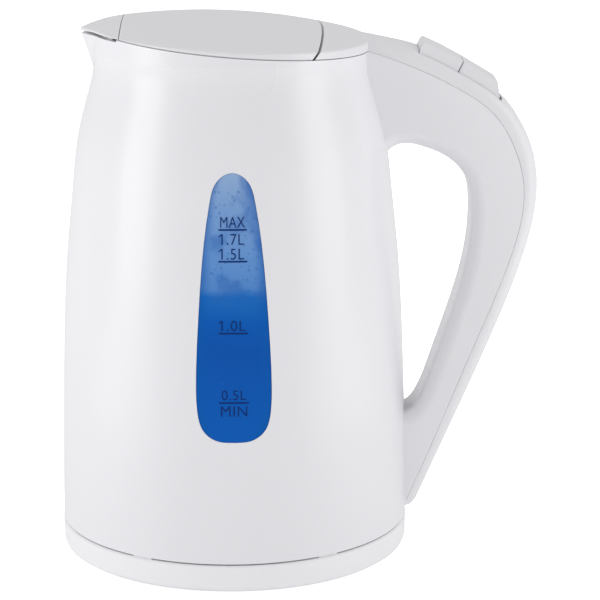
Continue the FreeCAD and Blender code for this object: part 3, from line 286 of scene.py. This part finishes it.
def window_plastic():
    """Clear blue plastic with water behind its lower part, a misted pane with droplets above it."""
    made = Nodes("water_window")
    height = made.axis("Z")
    drift = made.noise(30.0, 3.0, (1.0, 1.0, 2.0))
    level = made.sum("ADD", height, made.spread(drift, 0.2, 0.8, -0.0025, 0.0025))
    share = made.spread(level, WINDOW_FOOT, WINDOW_TOP)
    share.node.interpolation_type = "LINEAR"
    deep = made.ramp(share, WINDOW_COLOURS)
    half_width = made.ramp(share, [(place, (width, width, width)) for place, width in WINDOW_WIDTHS])
    away = made.sum("ABSOLUTE", made.axis("X"), 0.0)
    across = made.sum("DIVIDE", away, made.sum("MULTIPLY", half_width, WIDEST))
    deep = made.mix(made.spread(across, 0.62, 1.05, 0.0, 0.62), deep, RIM_BLUE)
    blotch = made.noise(75.0, 4.0, (1.0, 1.0, 0.7))
    splash = made.mix(made.spread(blotch, 0.52, 0.70), deep, SPLASH_BLUE)
    above = made.spread(level, WATER_LEVEL - 0.003, WATER_LEVEL + 0.003)
    colour = made.mix(made.sum("MULTIPLY", above, 0.55), deep, splash)
    bead = made.spread(made.cells(430.0), 0.16, 0.34, 1.0, 0.0)
    few = made.spread(made.noise(120.0, 2.0), 0.42, 0.56)
    drops = made.sum("MULTIPLY", made.sum("MULTIPLY", bead, few), above)
    colour = made.mix(made.sum("MULTIPLY", drops, 0.45), colour, DROP_BLUE)
    froth = made.spread(made.cells(520.0), 0.10, 0.22, 1.0, 0.0)
    patches = made.spread(made.noise(90.0, 2.0), 0.60, 0.68)
    below = made.spread(level, 0.100, 0.092)
    fleck = made.sum("MULTIPLY", made.sum("MULTIPLY", froth, patches), below)
    colour = made.mix(made.sum("MULTIPLY", fleck, 0.5), colour, FROTH_BLUE)
    made.link(colour, made.shader.inputs["Base Color"])
    made.link(made.spread(drift, 0.3, 0.7, 0.16, 0.24), made.shader.inputs["Roughness"])
    made.link(made.bump(made.sum("ADD", drops, made.sum("MULTIPLY", drift, 0.2)), 0.0004, 0.4),
              made.shader.inputs["Normal"])
    made.shader.inputs["Specular IOR Level"].default_value = 0.10
    made.shader.inputs["Coat Weight"].default_value = 0.03
    made.shader.inputs["Coat Roughness"].default_value = 0.12
    return made.material


def ink(name, colour):
    """Printed marks: a thin film, a little patchy."""
    made = Nodes(name)
    patch = made.noise(900.0, 3.0)
    made.link(made.mix(made.spread(patch, 0.45, 0.75, 0.0, 0.5), colour, tuple(c * 1.5 for c in colour)),
              made.shader.inputs["Base Color"])
    made.link(made.spread(patch, 0.3, 0.7, 0.35, 0.5), made.shader.inputs["Roughness"])
    made.link(made.bump(patch, 0.00003, 0.5), made.shader.inputs["Normal"])
    made.shader.inputs["Specular IOR Level"].default_value = 0.08
    return made.material


WHITE = (0.860, 0.857, 0.880)
SHELL = moulded_plastic("white_shell", WHITE, 0.27, 0.60, 0.00002)
COVER = moulded_plastic("white_cover", (0.820, 0.817, 0.838), 0.36, 0.25, 0.00003)
GRIP = moulded_plastic("white_grip", (0.820, 0.817, 0.838), 0.34, 0.30, 0.00003)
KEYS = moulded_plastic("white_keys", (0.815, 0.812, 0.832), 0.34, 0.30, 0.00002, 0.8)
# The base is the shell's white plastic made lighter: painted light, standing in for the bounce from the
# floor onto the base.
BASE = moulded_plastic("white_base", (0.920, 0.917, 0.935), 0.30, 0.45, 0.00003)
INNER = moulded_plastic("inner_plastic", (0.66, 0.66, 0.68), 0.5, 0.0, 0.00004)
DARK = moulded_plastic("dark_plastic", (0.035, 0.035, 0.04), 0.45, 0.0, 0.00005)
STEEL = metal("steel", (0.62, 0.61, 0.60), 0.22)
PLATE = metal("element_steel", (0.66, 0.65, 0.64), 0.16, (1.0, 1.0, 1.0))
BRASS = metal("brass", (0.72, 0.50, 0.22), 0.28)
RUBBER = rubber("rubber", (0.10, 0.10, 0.105))
SEAL = rubber("seal_rubber", (0.42, 0.42, 0.44))
WINDOW = window_plastic()
MARKS = ink("scale_ink", (0.004, 0.030, 0.160))

FINISHES = {
    SHELL: ["jug_body"],
    COVER: ["lid_top"],
    GRIP: ["handle_cover", "spout_cover"],
    KEYS: ["lid_button", "rocker"],
    BASE: ["base_shell", "base_rest_1", "base_rest_2", "base_rest_3", "base_rest_4"],
    INNER: ["lid_inner", "mouth_frame", "base_plate", "jug_bottom_cover", "filter_frame", "latch_slider",
            "switch_cradle", "trip_lever", "terminal_block", "base_boss_1", "base_boss_2", "base_boss_3",
            "bimetal_mount", "coupler_socket"],
    DARK: ["connector_post", "control_block", "cord_gland"],
    STEEL: ["base_screw_1", "base_screw_2", "base_screw_3", "jug_screw_1", "jug_screw_2", "jug_screw_3",
            "hinge_pin", "rocker_pin", "trip_pin", "hinge_spring", "button_spring", "filter_mesh",
            "element_clamp", "bimetal_disc", "dry_boil_disc"],
    PLATE: ["element_plate", "heating_element"],
    BRASS: ["live_contact", "neutral_contact", "earth_contact", "coupler_ring", "coupler_pin"],
    RUBBER: ["base_foot", "base_wire_1", "base_wire_2", "base_wire_3"],
    SEAL: ["element_seal", "lid_seal"],
    WINDOW: ["water_window_near", "water_window_far"],
}


def dress_nodes():
    """Gives every CAD node its material."""
    dressed = set()
    for material, names in FINISHES.items():
        for name in names:
            node = NODES[name]
            node.data.materials.clear()
            node.data.materials.append(material)
            dressed.add(name)
    left = sorted(set(NODES) - dressed)
    if left:
        raise RuntimeError("no finish for %s" % left)


# ---------------------------------------------------------------- litre marks

def pane_surface(node):
    """The pane's faces, for rays to find its outer surface."""
    mesh = NODES[node].data
    return BVHTree.FromPolygons([vertex.co for vertex in mesh.vertices],
                                [tuple(face.vertices) for face in mesh.polygons])


# Words, the height of their foot, their width and the height of their capitals, in metres.
LITRE_MARKS = [("MAX", 0.1622, 0.0109, 0.0046), ("1.7L", 0.1549, 0.0099, 0.0046),
               ("1.5L", 0.1487, 0.0099, 0.0046), ("1.0L", 0.1181, 0.0102, 0.0045),
               ("0.5L", 0.0880, 0.0102, 0.0042), ("MIN", 0.0808, 0.0109, 0.0045)]
LINES = [0.1609, 0.1475, 0.1167, 0.0864]
LINE_LENGTH, LINE_THICKNESS = 0.0125, 0.00068
FILM = 0.00012          # how far the print stands on the pane
PANE_RADIUS = 0.075


def text_mesh(words, width, cap_height):
    """Flat lettering, scaled to its printed width and height."""
    curve = bpy.data.curves.new("words", "FONT")
    curve.body = words
    curve.size = cap_height
    curve.offset = -0.00003
    curve.space_character = 1.08
    curve.resolution_u = 6
    holder = bpy.data.objects.new("words", curve)
    bpy.context.scene.collection.objects.link(holder)
    mesh = bpy.data.meshes.new_from_object(holder.evaluated_get(bpy.context.evaluated_depsgraph_get()))
    bpy.data.objects.remove(holder)
    left, right = (pick(v.co.x for v in mesh.vertices) for pick in (min, max))
    low, high = (pick(v.co.y for v in mesh.vertices) for pick in (min, max))
    for vertex in mesh.vertices:
        vertex.co.x = ((vertex.co.x - left) / (right - left) - 0.5) * width
        vertex.co.y = (vertex.co.y - low) / (high - low) * cap_height
    return with_flag(mesh, -width / 2, cap_height) if words.startswith("1") else mesh


def with_flag(mesh, stem, top):
    """Adds the short sloping stroke at the head of a figure one."""
    points = [tuple(vertex.co) for vertex in mesh.vertices]
    faces = [tuple(face.vertices) for face in mesh.polygons]
    first = len(points)
    reach, drop, stroke = 0.0011, 0.0009, 0.0006
    points += [(stem, top, 0.0), (stem - reach, top - drop, 0.0), (stem - reach, top - drop - stroke, 0.0),
               (stem, top - stroke, 0.0)]
    faces.append((first, first + 1, first + 2, first + 3))
    flagged = bpy.data.meshes.new("figure")
    flagged.from_pydata(points, [], faces)
    return flagged


def bar_mesh(length, thickness):
    mesh = bpy.data.meshes.new("bar")
    steps = 16
    points, faces = [], []
    for step in range(steps + 1):
        across = -length / 2 + length * step / steps
        points += [(across, 0.0, 0.0), (across, thickness, 0.0)]
    for step in range(steps):
        first = 2 * step
        faces.append((first, first + 2, first + 3, first + 1))
    mesh.from_pydata(points, [], faces)
    return mesh


def printed(name, mesh, foot, side, surface):
    """Lays a flat mesh on the pane's curved face, and rides it on the jug."""
    for vertex in mesh.vertices:
        turn = vertex.co.x / PANE_RADIUS
        outward = Vector((-side * math.sin(turn), side * math.cos(turn), 0.0))
        start = outward * (2 * PANE_RADIUS) + Vector((0.0, 0.0, foot + vertex.co.y))
        vertex.co = surface.ray_cast(start, -outward)[0] + outward * FILM
    mesh.materials.clear()
    mesh.materials.append(MARKS)
    piece = bpy.data.objects.new(name, mesh)
    bpy.context.scene.collection.objects.link(piece)
    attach(piece, "jug")


def add_marks():
    for side, face in ((-1, "near"), (1, "far")):
        surface = pane_surface("water_window_" + face)
        for number, (words, foot, width, cap_height) in enumerate(LITRE_MARKS):
            words_mesh = text_mesh(words, width, cap_height)
            printed("mark_%s_%d" % (face, number), words_mesh, foot, side, surface)
        for number, foot in enumerate(LINES):
            line = bar_mesh(LINE_LENGTH, LINE_THICKNESS)
            printed("line_%s_%d" % (face, number), line, foot, side, surface)


# ---------------------------------------------------------------- floor

FLOOR_GLOW, FLOOR_GLOW_TO_CAMERA = 0.20, 0.62      # lifts the floor to plain white


def add_floor():
    reach = 6.0
    mesh = bpy.data.meshes.new("floor")
    mesh.from_pydata([(-reach, -reach, 0), (reach, -reach, 0), (reach, reach, 0), (-reach, reach, 0)], [],
                     [(0, 1, 2, 3)])
    made = Nodes("floor")
    cloud = made.noise(3.0, 3.0)
    made.link(made.mix(made.spread(cloud, 0.3, 0.7), (0.78, 0.78, 0.78), (0.80, 0.80, 0.80)),
              made.shader.inputs["Base Color"])
    made.link(made.spread(cloud, 0.3, 0.7, 0.7, 0.8), made.shader.inputs["Roughness"])
    made.shader.inputs["Emission Color"].default_value = (1.0, 1.0, 1.0, 1.0)
    seen = made.tree.nodes.new("ShaderNodeLightPath").outputs["Is Camera Ray"]
    glow = made.sum("ADD", made.sum("MULTIPLY", seen, FLOOR_GLOW_TO_CAMERA), FLOOR_GLOW)
    made.link(glow, made.shader.inputs["Emission Strength"])
    mesh.materials.append(made.material)
    floor = bpy.data.objects.new("floor", mesh)
    bpy.context.scene.collection.objects.link(floor)


add_camera()
add_lights()
dress_nodes()
add_marks()
add_floor()
